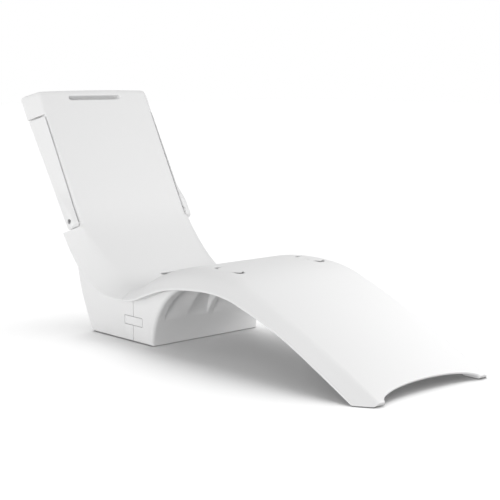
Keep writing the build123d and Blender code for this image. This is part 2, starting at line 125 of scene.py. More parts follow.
PATH_S, PATH_U, PATH_Z, PATH_A, PATH_LENGTHS = path_table()
PATH_END = PATH_LENGTHS[-1]
BACK_S = PATH_LENGTHS[-2]


def path_at(s):
    """Place, height and slope of the top face at a path length."""
    return np.interp(s, PATH_S, PATH_U), np.interp(s, PATH_S, PATH_Z), np.interp(s, PATH_S, PATH_A)


def smooth_curve(pairs, s):
    """Smooth value between pairs of path length and value."""
    xs, ys = np.array(pairs, float).T
    slopes = np.gradient(ys, xs)
    i = int(np.clip(np.searchsorted(xs, s) - 1, 0, len(xs) - 2))
    h = xs[i + 1] - xs[i]
    t = min(max((s - xs[i]) / h, 0), 1)
    a, b = (1 + 2 * t) * (1 - t) ** 2, t * (1 - t) ** 2
    c, d = t * t * (3 - 2 * t), t * t * (t - 1)
    return a * ys[i] + b * h * slopes[i] + c * ys[i + 1] + d * h * slopes[i + 1]


def length_at(u):
    """Path length at a place, or places, from the foot tips to the seat."""
    low = PATH_U < 1700
    return np.interp(u, PATH_U[low], PATH_S[low])


SEAM_S = float(length_at(SEAM_U))
# The slots by path length, and their half sizes across and along
HAND_SLOT_X, HAND_SLOT_S, HAND_SLOT = 199, float(length_at(766.9)), (21, 71)
BALLAST_SLOT_X, BALLAST_SLOT_S, BALLAST_SLOT = -4, float(length_at(1368.0)) - 20, (39, 7)
HANDLE_S, HANDLE = PATH_END - 38, (130, 9.5)

# The arms, by path length from their pivots and by depth under the top face
PIVOT_S, PIVOT_DEPTH = BACK_S - 42.6, 23
ARM_X, ARM_LOW, ARM_HIGH, ARM_DEPTH = 270.0, -27.0, 456.0, 48.0
NOTCH_LOW, NOTCH_HIGH, NOTCH_X = -33.0, 463.0, 360.0
STOP_ORBIT, STOP_BEARING, STOP_RADIUS = 16, 150, 3.4

# The keys and plugs in the sides of the base
KEY_HEIGHT, KEY_POCKET = 82, (57.2, 17.7)
PLUG_HEIGHT, COLLAR_RADIUS = 42, 18
FRONT_PLUG_U, REAR_PLUG_U = VAULT_FOOT + 46, SEAM_U + 190


def leaning(s):
    """Slope that the slab's cross-sections stand square to: upright at the seam."""
    slope = path_at(s)[2]
    return slope * (1 - np.exp(-(((s - SEAM_S) / 60) ** 2)))


def place(x, s, d):
    """Points in the row frame, in mm, from width, path length and depth under the top face."""
    u, z, _ = path_at(s)
    lean = leaning(s)
    return np.stack([x + 0 * s, u + d * np.sin(lean) + FOOT_Y, z - d * np.cos(lean)], -1)


def bezier(a, b, c, count):
    """Points of a soft corner from a to c, pulled to b, without its first point."""
    t = (np.arange(count) + 1)[:, None] / count
    a, b, c = map(np.array, (a, b, c))
    return (1 - t) ** 2 * a + 2 * t * (1 - t) * b + t * t * c


def ramp_depth(s, full):
    """Depth of the underside between the foot tips, which rises in a ramp."""
    u, z, slope = path_at(s)
    start_u, (end_u, end_z) = ARCH_DEPTH, RAMP_END
    start_z = TIP_HEIGHT + ARCH_DEPTH * math.tan(math.radians(TIP_SLOPE)) - FOOT_EDGE
    under = start_z + (u - start_u) * (end_z - start_z) / (end_u - start_u)
    return float(min(full, max(8.0, (z - under) * math.cos(slope))))


TOP_COUNT, BLEND_COUNT, BEVEL_COUNT = 16, 10, 5


def half_section(s, inset=0.0):
    """Right half of the slab's cross-section: top chain, corner chain and under chain."""
    bevel, soft = smooth_curve(BEVEL, s), smooth_curve(CREASE, s)
    _, z, slope = path_at(s)
    to_floor = (z - FLOOR) / math.cos(slope)
    full = min(bevel + LIP, to_floor)
    edge = min(bevel, to_floor - 4.0)
    lip_x = CREASE_X + (LIP_X - CREASE_X) * edge / bevel
    beta = math.atan2(edge, lip_x - CREASE_X)
    soft = min(soft, 0.62 * math.hypot(edge, lip_x - CREASE_X))
    flat = CREASE_X - soft
    inner = min(ARCH_X, flat - 8)
    xs = list(inner * np.sin(np.linspace(0, math.pi / 2, TOP_COUNT))) + [inner + 4, flat]
    top = [(x, 0.0) for x in xs]
    way = np.array([math.cos(beta), math.sin(beta)])
    crease = np.array([CREASE_X, 0.0])
    blend_end = crease + way * soft
    top += [tuple(p) for p in bezier((flat, 0), crease, blend_end, BLEND_COUNT)]
    corner = np.array([lip_x, edge])
    radius = 0.45 * (full - edge)
    bevel_end = corner - way * radius
    for t in np.linspace(0, 1, BEVEL_COUNT + 1)[1:]:
        top.append(tuple(blend_end + (bevel_end - blend_end) * t))
    low = np.array([lip_x, full])
    rim = [tuple(p) for p in bezier(bevel_end, corner, corner + (0, radius), 5)]
    rim += [tuple(p) for p in bezier(low - (0, radius), low, low - (radius, 0), 5)]
    ramp = ramp_depth(s, full)
    scale = (lip_x - radius) / top[-1][0]
    under = [(x * scale if x > inner + 1 else x, full if x > inner + 1 else ramp) for x, _ in top]
    section = np.array(top + rim + under[::-1])
    if inset:
        middle = full / 2
        shrink = 1 - inset / middle
        section[:, 1] = middle + (section[:, 1] - middle) * shrink
        section[:, 0] *= 1 - inset / lip_x
    return section, len(top), len(rim)


def ring_at(s, inset=0.0, shift=None):
    """One closed ring of the slab in the row frame; shift moves its points along the path."""
    section, top, rim = half_section(s, inset)
    half = len(section)
    mirrored = section[1:-1][::-1] * (-1, 1)
    ring = np.vstack([section, mirrored])
    along = np.full(len(ring), float(s))
    if shift is not None:
        along = shift(ring[:, 0], along)
    return place(ring[:, 0], along, ring[:, 1]), half, top, rim


def slab_mesh(rows):
    """Points and faces of a closed slab through rings; rows holds (s, inset, shift)."""
    rings, half, top, rim = [], 0, 0, 0
    for s, inset, shift in rows:
        ring, half, top, rim = ring_at(s, inset, shift)
        rings.append(ring)
    count = len(rings[0])
    faces = []
    for row in range(len(rings) - 1):
        for i in range(count):
            j = (i + 1) % count
            faces.append((row * count + i, row * count + j, (row + 1) * count + j, (row + 1) * count + i))
    for row, flip in ((0, True), (len(rings) - 1, False)):
        base = row * count
        for side in (1, -1):
            cap = []
            for k in range(top - 1):
                quad = [k, k + 1, half - 2 - k, half - 1 - k]
                cap.append(quad)
            cap.append(list(range(top - 1, top + rim + 1)))
            for quad in cap:
                ids = [q if side > 0 else (-q) % count for q in quad]
                if (side > 0) == flip:
                    ids = ids[::-1]
                faces.append(tuple(base + q for q in ids))
    return np.vstack(rings), faces


def foot_shift(x, s):
    """Pulls the first rows back to the arch between the foot tips."""
    reach = 140.0
    inside = np.clip(1 - (np.abs(x) / ARCH_X) ** 2, 0, 1)
    start = ARCH_DEPTH * np.sqrt(inside) / math.cos(math.radians(TIP_SLOPE))
    share = np.clip(s / reach, 0, 1)
    return np.where(s < reach, start + share * (reach - start), s)


def head_shift(x, s):
    """Lets the head's end fall away towards its corners."""
    reach, fall = 70.0, 6.0
    share = np.clip((s - (PATH_END - reach)) / reach, 0, 1)
    return s - share * fall * (x / LIP_X) ** 2


def end_rows(s, radius, sign, shift, steps=5):
    """Rows that round off an end: sign is 1 at an end and -1 at a start."""
    rows = []
    for step in range(steps):
        angle = math.pi / 2 * (step + 1) / steps
        rows.append((s - sign * radius * (1 - math.sin(angle)), radius * (1 - math.cos(angle)), shift))
    return rows if sign > 0 else rows[::-1]


def new_object(name, points, faces, material):
    """A mesh object from points in mm, with a material where one is given."""
    mesh = bpy.data.meshes.new(name)
    mesh.from_pydata([tuple(p * MM) for p in np.asarray(points, float)], [], faces)
    mesh.validate()
    thing = bpy.data.objects.new(name, mesh)
    bpy.context.scene.collection.objects.link(thing)
    if material:
        mesh.materials.append(material)
    return thing


def outward(thing):
    """Turns all faces of a closed mesh outwards."""
    work = bmesh.new()
    work.from_mesh(thing.data)
    bmesh.ops.remove_doubles(work, verts=work.verts, dist=1e-7)
    bmesh.ops.recalc_face_normals(work, faces=work.faces)
    work.to_mesh(thing.data)
    work.free()


def soften(thing, angle):
    """Smooth shading with edges sharper than an angle kept."""
    thing.data.shade_smooth()
    thing.data.set_sharp_from_angle(angle=math.radians(angle))


def cut(thing, cutters):
    """Takes cutters out of a closed mesh one after another, and deletes them."""
    for cutter in cutters:
        outward(cutter)
        step = thing.modifiers.new(cutter.name, "BOOLEAN")
        step.operation, step.solver, step.object = "DIFFERENCE", "MANIFOLD", cutter
        bake(thing)
        old = cutter.data
        bpy.data.objects.remove(cutter)
        bpy.data.meshes.remove(old)


def bake(thing):
    """Turns what the modifiers make into the piece's plain mesh."""
    graph = bpy.context.evaluated_depsgraph_get()
    made = bpy.data.meshes.new_from_object(thing.evaluated_get(graph))
    thing.modifiers.clear()
    old, thing.data = thing.data, made
    name = old.name
    bpy.data.meshes.remove(old)
    made.name = name


def loft(outlines):
    """Points and faces through closed outlines with equal counts, capped at both ends."""
    count = len(outlines[0])
    faces = []
    for row in range(len(outlines) - 1):
        for i in range(count):
            j = (i + 1) % count
            faces.append((row * count + i, row * count + j, (row + 1) * count + j, (row + 1) * count + i))
    faces.append(tuple(range(count))[::-1])
    faces.append(tuple((len(outlines) - 1) * count + i for i in range(count)))
    return np.vstack(outlines), faces


def rounded_outline(low, high, radii, per_corner=8):
    """A rectangle from low to high with one radius for each corner, anticlockwise."""
    corners = ((high[0], high[1], 0), (low[0], high[1], 90), (low[0], low[1], 180), (high[0], low[1], 270))
    points = []
    for (x, y, start), radius in zip(corners, radii):
        sx = -1 if x == high[0] else 1
        sy = -1 if y == high[1] else 1
        for k in range(per_corner + 1):
            angle = math.radians(start + 90 * k / per_corner)
            points.append(
                (x + sx * radius + radius * math.cos(angle), y + sy * radius + radius * math.sin(angle))
            )
    return np.array(points)


def turns(count):
    """Angles of evenly spaced points round a circle."""
    return np.linspace(0, 2 * math.pi, count + 1)[:-1]


def flared_cutter(name, outline, rim, depth, hollow=0.0):
    """A cutter through the slab with a rounded rim and, where asked, a hollow under it.

    outline(offset) gives its points as width and path length.
    """
    steps = [(13.2 * rim / 6, -3.0 * rim / 6)]
    for angle in (20, 34, 48, 62, 76, 90):
        a = math.radians(angle)
        steps.append((rim * (1 - math.sin(a)), rim * (1 - math.cos(a))))
    if hollow:
        steps += [(0.0, rim + 0.5), (hollow, rim + 3), (hollow, depth * 0.4)]
    steps += [(0.0, depth * 0.5), (0.0, depth)]
    outlines = []
    for offset, d in steps:
        ring = outline(offset)
        outlines.append(place(ring[:, 0], ring[:, 1], np.full(len(ring), d)))
    return new_object(name, *loft(outlines), None)


def slot_outline(x, s, half, offset):
    """A slot's outline with round ends, from its middle and half sizes."""
    half_x, half_s = half[0] + offset, half[1] + offset
    radius = min(half_x, half_s) - 0.01
    return rounded_outline((x - half_x, s - half_s), (x + half_x, s + half_s), [radius] * 4, 12)


# Scoops of the vault's right half: widths where the steep side starts and the gentle side ends, and
# how far across each side runs
SCOOPS = ((11.0, 111.0, 7.0, 86.0), (224.0, 121.0, 7.0, 88.0))
SCOOP_DEPTH, SCOOP_MIDDLE, SCOOP_REACH = 36.0, 63.0, 40.0


def scoop_depth(x, phi):
    """How deep the front wall is scooped at a width and an angle up the vault."""
    x = abs(x)
    share = 0.0
    for start, end, steep, gentle in SCOOPS:
        sign = 1 if end > start else -1
        wall = min(max(sign * (x - start) / steep, 0), 1)
        slope = min(max(sign * (end - x) / gentle, 0), 1)
        share = max(share, eased(wall) * slope**0.8)
    up = math.cos(min(max((phi - SCOOP_MIDDLE) / SCOOP_REACH, -1), 1) * math.pi / 2)
    return SCOOP_DEPTH * share * max(up, 0.0) ** 0.9


def base_layers():
    """Widths of the base's layers with their insets, rounded off at both sides."""
    radius, steps = 15.0, 8
    xs = list(np.linspace(-(CREASE_X - radius), CREASE_X - radius, 119))
    insets = [0.0] * len(xs)
    for k in range(1, steps + 1):
        angle = math.pi / 2 * k / steps
        xs.append(CREASE_X - radius + radius * math.sin(angle))
        xs.insert(0, -xs[-1])
        insets.append(radius * (1 - math.cos(angle)))
        insets.insert(0, insets[-1])
    return xs, insets, radius


def inner_line(start_u, end_u, count):
    """Points inside the slab, above the base, from one place along the path to another."""
    depth = 24
    u, z, slope = path_at(length_at(np.linspace(start_u, end_u, count)))
    return [(a + depth * math.sin(c), b - depth * math.cos(c)) for a, b, c in zip(u, z, slope)]


def front_base_outline(x, inset, radius):
    """Side view of the front half of the base at one layer."""
    low = FLOOR + 0.3 * inset
    seam = SEAM_U - SEAM_GAP - 0.1 * inset
    wall = []
    reach = VAULT_R + inset
    foot = math.degrees(math.asin(low / reach))
    for phi in np.linspace(90, foot, 56):
        r = reach + scoop_depth(x, phi) * (1 - min(1.0, inset / radius))
        wall.append((VAULT_U + r * math.cos(math.radians(phi)), r * math.sin(math.radians(phi))))
    wall[-1] = (wall[-1][0], low)
    floor = [(wall[-1][0] + (seam - wall[-1][0]) * t, low) for t in (0.15, 0.5, 0.85, 1)]
    top = inner_line(seam, VAULT_U + 4, 10)
    rise = [(seam, low + (top[0][1] - low) * t) for t in (0.1, 0.3, 0.5, 0.7, 0.9)]
    return np.array(wall + floor + rise + [(seam, top[0][1])] + top[1:])


# Rear wall of the base, as heights and places
REAR_WALL_Z, REAR_WALL_U = (0, 60, 130, 195, 255, 320, 415), (1517, 1543, 1578, 1599, 1612, 1625, 1640)


def rear_base_outline(_x, inset, _radius):
    """Side view of the rear half of the base at one layer; only the inset matters to it."""
    low = FLOOR + 0.3 * inset
    seam = SEAM_U + SEAM_GAP + 0.1 * inset
    zs = np.linspace(low, REAR_WALL_Z[-1], 24)
    us = np.interp(zs, REAR_WALL_Z, REAR_WALL_U)
    for _ in range(3):
        us[1:-1] = (us[:-2] + 2 * us[1:-1] + us[2:]) / 4
    wall = [(u - inset, z) for u, z in zip(us, zs)]
    wall[0] = (wall[0][0] - 1.8, low)
    top = inner_line(1560.0, seam, 12)
    rise = [(seam, top[-1][1] + (low - top[-1][1]) * t) for t in (0.1, 0.3, 0.5, 0.7, 0.9)]
    floor = [(seam + (wall[0][0] - seam) * t, low) for t in (0, 0.15, 0.5, 0.85)]
    return np.array(wall + top[:-1] + [(seam, top[-1][1])] + rise + floor)


def in_side_view(x, outline):
    """Points in the row frame, in mm, from a width and an outline of places and heights."""
    return np.stack([np.full(len(outline), x), outline[:, 0] + FOOT_Y, outline[:, 1]], -1)


def base_mesh(outline):
    """Points and faces of one half of the base."""
    xs, insets, radius = base_layers()
    return loft([in_side_view(x, outline(x, inset, radius)) for x, inset in zip(xs, insets)])


def side_prism(name, outline, x0, x1):
    """A prism across the width from an outline in side view."""
    return new_object(name, *loft([in_side_view(x, outline) for x in (x0, x1)]), None)


def make_material(name, color, roughness, metallic=0.0, grain=0.0, grain_scale=400.0, specular=0.5):
    """A finish with an even colour and, where asked, a fine moulded grain."""
    made = bpy.data.materials.new(name)
    made.use_nodes = True
    nodes, links = made.node_tree.nodes, made.node_tree.links
    shader = nodes["Principled BSDF"]
    shader.inputs["Base Color"].default_value = (*color, 1)
    shader.inputs["Roughness"].default_value = roughness
    shader.inputs["Metallic"].default_value = metallic
    shader.inputs["Specular IOR Level"].default_value = specular
    if grain:
        where = nodes.new("ShaderNodeTexCoord")
        noise = nodes.new("ShaderNodeTexNoise")
        bump = nodes.new("ShaderNodeBump")
        noise.inputs["Scale"].default_value = grain_scale
        noise.inputs["Detail"].default_value = 3.0
        bump.inputs["Strength"].default_value = grain
        bump.inputs["Distance"].default_value = 0.0006
        links.new(where.outputs["Object"], noise.inputs["Vector"])
        links.new(noise.outputs["Fac"], bump.inputs["Height"])
        links.new(bump.outputs["Normal"], shader.inputs["Normal"])
    return made


class LoungerShape(bpy.types.PropertyGroup):
    """Sizes of the soft edges that a user would change."""

    slot_rim: bpy.props.FloatProperty(
        name="Slot rim", description="Rounding round the hand slots",
        default=0.003, min=0.001, unit="LENGTH",
    )
    foot_edge: bpy.props.FloatProperty(
        name="Foot edge", description="Rounding of the arch's edge", default=0.004, min=0.001, unit="LENGTH"
    )
    head_edge: bpy.props.FloatProperty(
        name="Head edge", description="Rounding of the head's end", default=0.012, min=0.001, unit="LENGTH"
    )
    arm_round: bpy.props.FloatProperty(
        name="Arm rounding", description="Rounding of an arm's front edge",
        default=0.02, min=0.002, unit="LENGTH",
    )
    row_step: bpy.props.FloatProperty(
        name="Row step", description="Spacing of the rows along the slab",
        default=0.008, min=0.004, unit="LENGTH",
    )


class LoungerLook(bpy.types.PropertyGroup):
    """Colours and finishes of the moulded plastic and the fittings."""

    shell_color: bpy.props.FloatVectorProperty(
        name="Shell", description="Colour of the moulded plastic",
        subtype="COLOR", size=3, default=(0.86, 0.86, 0.86),
    )
    shell_roughness: bpy.props.FloatProperty(
        name="Roughness", description="Roughness of the moulded plastic", default=0.42, subtype="FACTOR"
    )
    grip_color: bpy.props.FloatVectorProperty(
        name="Grip pads", description="Colour of the soft pads",
        subtype="COLOR", size=3, default=(0.16, 0.165, 0.17),
    )
    seal_color: bpy.props.FloatVectorProperty(
        name="Seals", description="Colour of the seals", subtype="COLOR", size=3, default=(0.02, 0.02, 0.02)
    )
    # Steel of the bolts and washers, kept dark: partly painted shade for the shade inside the arms'
    # counterbores round the pivot bolts
    steel_and_shade_color: bpy.props.FloatVectorProperty(
        name="Steel", description="Colour of bolts and washers",
        subtype="COLOR", size=3, default=(0.3, 0.3, 0.31),
    )


class LoungerStage(bpy.types.PropertyGroup):
    """Light levels and the floor."""

    sky: bpy.props.FloatProperty(name="Sky", description="Level of the even light", default=0.48, min=0)
    floor_lamp: bpy.props.FloatProperty(
        name="Floor lamp", description="Level of the lamp from behind that keeps the floor white",
        default=2.1, min=0,
    )
    floor_fill: bpy.props.FloatProperty(
        name="Floor fill", description="Level of the wide overhead light on the floor alone",
        default=0.35, min=0,
    )
    front_lamp: bpy.props.FloatProperty(
        name="Front lamp", description="Level of the low lamp between the foot end and the near side",
        default=1.04, min=0,
    )
    near_lamp: bpy.props.FloatProperty(
        name="Near lamp", description="Level of the low lamp on the near side", default=0.63, min=0
    )
    far_lamp: bpy.props.FloatProperty(
        name="Far lamp", description="Level of the low lamp on the far side", default=0.48, min=0
    )
    leg_lamp: bpy.props.FloatProperty(
        name="Leg lamp", description="Power of the small panel over the leg rest",
        default=8.7, min=0, unit="POWER",
    )
    floor_color: bpy.props.FloatVectorProperty(
        name="Floor", description="Colour of the floor", subtype="COLOR", size=3, default=(0.92, 0.92, 0.92)
    )


FINISHES = {}


def finishes():
    """The materials of all pieces, made once."""
    if not FINISHES:
        look = bpy.context.scene.lounger_look
        FINISHES["shell"] = make_material(
            "moulded white", look.shell_color, look.shell_roughness, grain=0.06, grain_scale=320.0
        )
        FINISHES["fitting"] = make_material("smooth white", (0.8, 0.8, 0.8), 0.3)
        FINISHES["bearing"] = make_material("acetal", (0.72, 0.72, 0.7), 0.35)
        # The dark steel is partly painted shade, standing in for the shade round the pivot bolts in the
        # counterbores
        FINISHES["steel"] = make_material("stainless steel with painted shade", look.steel_and_shade_color, 0.28, metallic=1.0)
        FINISHES["brass"] = make_material("brass", (0.6, 0.44, 0.2), 0.35, metallic=1.0)
        FINISHES["seal"] = make_material("seal rubber", look.seal_color, 0.6)
        FINISHES["grip"] = make_material("grip rubber", look.grip_color, 0.75, grain=0.2, grain_scale=900.0)
    return FINISHES


# Edges that turn by more than this many degrees stay sharp, on mouldings and on pads and ridges
SHARP, SHARP_RUBBER = 38, 35


def finish_piece(thing, body, slot, *nodes):
    """Hands a piece to its body, in place of the named solids; the slot is not used."""
    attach(thing, body)
    if nodes:
        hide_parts(*nodes)


def add_moulding(name, shape, cutters, body, node):
    """A moulded white piece from its points and faces, less its cutters, in place of a solid."""
    thing = new_object(name, *shape, finishes()["shell"])
    outward(thing)
    cut(thing, cutters)
    soften(thing, SHARP)
    finish_piece(thing, body, "shell", node)


def key_cutters():
    """Cutters for the pockets of both keys."""
    cutters = []
    for side in (-1, 1):
        middle, half = np.array((SEAM_U, KEY_HEIGHT)), np.array(KEY_POCKET)
        outline = rounded_outline(tuple(middle - half), tuple(middle + half), [6.0] * 4)
        cutters.append(side_prism("key pocket", outline, side * 253.7, side * 290.0))
    return cutters


def plug_cutter(u):
    """Cutter for the bore of a plug's collar in the right side."""
    a = turns(48)
    ring = np.stack([u + COLLAR_RADIUS * np.cos(a), PLUG_HEIGHT + COLLAR_RADIUS * np.sin(a)], -1)
    return side_prism("collar bore", ring, 230.0, 290.0)


def notch_outline(offset):
    """The right arm's notch: its rim fades out along the arm, and its shelf rises towards the lip."""
    low, high = PIVOT_S + NOTCH_LOW, PIVOT_S + NOTCH_HIGH
    plain = rounded_outline((CREASE_X, low), (NOTCH_X, high), [2.0, 8.0, 17.0, 2.0])
    wide = rounded_outline(
        (CREASE_X - offset, low - offset), (NOTCH_X, high + offset), [2.0, 8.0 + offset, 17.0 + offset, 2.0]
    )
    fade = np.clip((PIVOT_S + 140.0 - plain[:, 1:]) / 160.0, 0.1, 1) * (1 + 0.5 * (plain[:, 1:] < PIVOT_S))
    ring = plain + (wide - plain) * fade
    towards_lip = (ring[:, 0] - CREASE_X) / (LIP_X - CREASE_X)
    ring[:, 1] += np.where(ring[:, 1] < PIVOT_S, 8.0 * towards_lip, 0)
    return ring


def stop_studs():
    """Points and faces of the studs in the notches' walls that stop the arms."""
    angle = math.radians(STOP_BEARING)
    s, d = PIVOT_S + STOP_ORBIT * math.cos(angle), PIVOT_DEPTH - STOP_ORBIT * math.sin(angle)
    a = turns(32)
    studs = []
    for side in (-1, 1):
        layers = []
        for x, share in ((264.0, 1), (273.2, 1), (273.8, 0.93), (274.0, 0.8)):
            radius = STOP_RADIUS * share
            layers.append(place(np.full(32, side * x), s + radius * np.cos(a), d + radius * np.sin(a)))
        studs.append(loft(layers))
    (left, faces), (right, more) = studs
    return np.vstack([left, right]), faces + [tuple(i + len(left) for i in face) for face in more]


class LOUNGER_OT_front_section(bpy.types.Operator):
    """Leg rest, hump and the front half of the base"""

    bl_idname = "lounger.front_section"
    bl_label = "Front section"

    def execute(self, context):
        shape = context.scene.lounger_shape
        step = shape.row_step / MM
        edge = shape.foot_edge / MM
        rows = end_rows(0.0, edge, -1, foot_shift)
        rows += [(s, 0.0, foot_shift) for s in np.arange(edge + 4, 136, step)]
        rows += [(s, 0.0, None) for s in np.arange(140, SEAM_S - 6, step)]
        rows += end_rows(SEAM_S - SEAM_GAP, 1.6, 1, None, 3)
        cutters = []
        for side in (-1, 1):

            def slot(offset, side=side):
                return slot_outline(side * HAND_SLOT_X, HAND_SLOT_S, HAND_SLOT, offset)

            cutters.append(flared_cutter("hand slot", slot, shape.slot_rim / MM, 110.0, hollow=14.0))
        add_moulding("front_deck", slab_mesh(rows), cutters, "shell", "front_section")
        cutters = key_cutters() + [plug_cutter(FRONT_PLUG_U)]
        add_moulding("front_base", base_mesh(front_base_outline), cutters, "shell", "front_section")
        return {"FINISHED"}


class LOUNGER_OT_rear_section(bpy.types.Operator):
    """Seat, back, head and the rear half of the base"""

    bl_idname = "lounger.rear_section"
    bl_label = "Rear section"

    def execute(self, context):
        shape = context.scene.lounger_shape
        step = shape.row_step / MM
        edge = shape.head_edge / MM
        rows = end_rows(SEAM_S + SEAM_GAP, 1.6, -1, None, 3)
        rows += [(s, 0.0, None) for s in np.arange(SEAM_S + 8, PATH_END - 72, step)]
        rows += [(s, 0.0, head_shift) for s in np.arange(PATH_END - 70, PATH_END - edge - 2, step)]
        rows += end_rows(PATH_END, edge, 1, head_shift, 7)
        cutters = [
            flared_cutter(
                "handle", lambda offset: slot_outline(0, HANDLE_S, HANDLE, offset), shape.slot_rim / MM, 90.0
            ),
            flared_cutter(
                "ballast slot",
                lambda offset: slot_outline(BALLAST_SLOT_X, BALLAST_SLOT_S, BALLAST_SLOT, offset),
                3.0,
                26.0,
            ),
        ]
        for side in (-1, 1):
            cutters.append(
                flared_cutter(
                    "arm notch", lambda offset, side=side: notch_outline(offset) * (side, 1), 15.0, 110.0
                )
            )
        add_moulding("rear_deck", slab_mesh(rows), cutters, "shell", "rear_section")
        cutters = key_cutters() + [plug_cutter(REAR_PLUG_U)]
        add_moulding("rear_base", base_mesh(rear_base_outline), cutters, "shell", "rear_section")
        add_moulding("arm_stops", stop_studs(), [], "shell", "rear_section")
        return {"FINISHED"}


def arm_shares():
    """Stations across an arm's width, closer together at both edges."""
    edge = [0.0, 0.02, 0.06, 0.12, 0.2, 0.3]
    return edge + [0.4, 0.48, 0.56, 0.64, 0.72, 0.78, 0.84, 0.89, 0.93, 0.96, 0.98, 0.992, 1.0]


def dense_outline(ring, spacing):
    """The outline with points added on its long straight stretches."""
    points = []
    for a, b in zip(ring, np.roll(ring, -1, 0)):
        count = max(1, int(np.hypot(*(b - a)) / spacing))
        points += [a + (b - a) * k / count for k in range(count)]
    return np.array(points)


def rounding(radius, rest):
    """How far a rounded edge falls back at a distance past its start."""
    return radius - np.sqrt(np.maximum(0.0, radius**2 - np.clip(rest, 0, radius) ** 2))


def arm_surface(share, along, through, soft):
    """Widens an arm towards its tip and lets its front fall away with the bevel of the back."""
    reach = np.clip(along / 460.0, 0, 1) ** 1.2
    width, depth = 34.0 + 12.0 * reach, ARM_DEPTH + 12.0 * reach
    x = share * width
    bevelled = eased(np.clip((along - 30.0) / 110.0, 0, 1))
    plane = 1.0 + (depth - 9.0) * share
    boss = 4.0 + rounding(soft, x - (width - soft))
    inner_edge = 9.0 - 6.5 * np.clip(along / 300.0, 0, 1)
    stand_off = 2.0 * np.clip((along - 40.0) / 120.0, 0, 1) * (1 - share)
    front = plane * bevelled + boss * (1 - bevelled) + rounding(inner_edge, inner_edge - x)
    back = rounding(3.0, x - (width - 3.0)) + rounding(2.0, 2.0 - x)
    ends = 1 - 2 * (rounding(4.0, x - (width - 4.0)) + rounding(2.0, 2.0 - x)) / 486.0
    return ARM_X + x + stand_off, 216.0 + (along - 216.0) * ends, front + (depth - front - back) * through


def pivot_cutters(side):
    """Cutters for an arm's bore, its counterbore and the groove in which the stop stud rides."""
    a = turns(48)
    outlines = []
    for radius, x0, x1 in ((7.0, 260.0, 316.0), (9.6, 294.0, 316.0)):
        outlines.append(("pivot bore", radius * np.cos(a), radius * np.sin(a), x0, x1))
    bearings = np.radians(np.linspace(12, 169, 48))
    radii = np.repeat((STOP_ORBIT + 3.7, STOP_ORBIT - 3.7), 48)
    band = np.concatenate([bearings, bearings[::-1]])
    outlines.append(("stop groove", radii * np.cos(band), -radii * np.sin(band), 260.0, 274.3))
    cutters = []
    for name, along, depth, x0, x1 in outlines:
        rings = [place(np.full(len(along), side * x), PIVOT_S + along, PIVOT_DEPTH + depth) for x in (x0, x1)]
        cutters.append(new_object(name, *loft(rings), None))
    return cutters


class LOUNGER_OT_arms(bpy.types.Operator):
    """Both arms with their counterbores and stop grooves"""

    bl_idname = "lounger.arms"
    bl_label = "Arms"

    def execute(self, context):
        soft = context.scene.lounger_shape.arm_round / MM
        low, high = (ARM_LOW, 0.0), (ARM_HIGH, ARM_DEPTH)
        for name, side in (("left", -1), ("right", 1)):
            layers = []
            for share in arm_shares():
                ring = dense_outline(rounded_outline(low, high, [8.0, 13.0, 18.0, 7.0]), 12.0)
                x, along, depth = arm_surface(share, ring[:, 0], ring[:, 1] / ARM_DEPTH, soft)
                layers.append(place(side * x, PIVOT_S + along, depth))
            cutters = pivot_cutters(side)
            add_moulding(f"{name}_arm_moulding", loft(layers), cutters, f"{name}_arm", f"{name}_arm")
        return {"FINISHED"}


# Rounded edges of the fittings, by the last word of their names, in metres
EDGE_ROUNDING = {
    "key": 0.0012,
    "plug": 0.0008,
    "collar": 0.0005,
    "bolt": 0.0005,
    "bush": 0.0003,
    "washer": 0.0002,
}


class LOUNGER_OT_fittings(bpy.types.Operator):
    """Keys, bolts, bushes, inserts, collars, seals and plugs, with their finishes"""

    bl_idname = "lounger.fittings"
    bl_label = "Fittings"

    def execute(self, context):
        slots = {piece["node"]: piece["material_slot"] for piece in frame["record"]["subparts"]}
        for node, thing in frame["nodes"].items():
            thing.data.materials.clear()
            thing.data.materials.append(finishes()[slots[node]])
            kind = node.rsplit("_", 1)[-1]
            if kind in EDGE_ROUNDING:
                bevel = thing.modifiers.new("edges", "BEVEL")
                bevel.width, bevel.segments, bevel.limit_method = EDGE_ROUNDING[kind], 3, "ANGLE"
                bevel.angle_limit = math.radians(40)
                bevel.harden_normals = True
        return {"FINISHED"}


def empty_tree(name, *inputs):
    """A geometry node tree with its inputs as label, kind and default, and its two ends."""
    tree = bpy.data.node_groups.new(name, "GeometryNodeTree")
    face = tree.interface
    face.new_socket("Geometry", in_out="INPUT", socket_type="NodeSocketGeometry")
    for label, kind, value in inputs:
        socket = face.new_socket(label, in_out="INPUT", socket_type=f"NodeSocket{kind}")
        if value is not None:
            socket.default_value = value
    face.new_socket("Geometry", in_out="OUTPUT", socket_type="NodeSocketGeometry")
    return tree, tree.nodes.new("NodeGroupInput"), tree.nodes.new("NodeGroupOutput")


def realized_and_painted(tree, geometry, finish, made):
    """Ends a tree: its instances are made real and take the finish."""
    real = tree.nodes.new("GeometryNodeRealizeInstances")
    paint = tree.nodes.new("GeometryNodeSetMaterial")
    tree.links.new(geometry, real.inputs["Geometry"])
    tree.links.new(real.outputs["Geometry"], paint.inputs["Geometry"])
    tree.links.new(finish, paint.inputs["Material"])
    tree.links.new(paint.outputs["Geometry"], made.inputs["Geometry"])


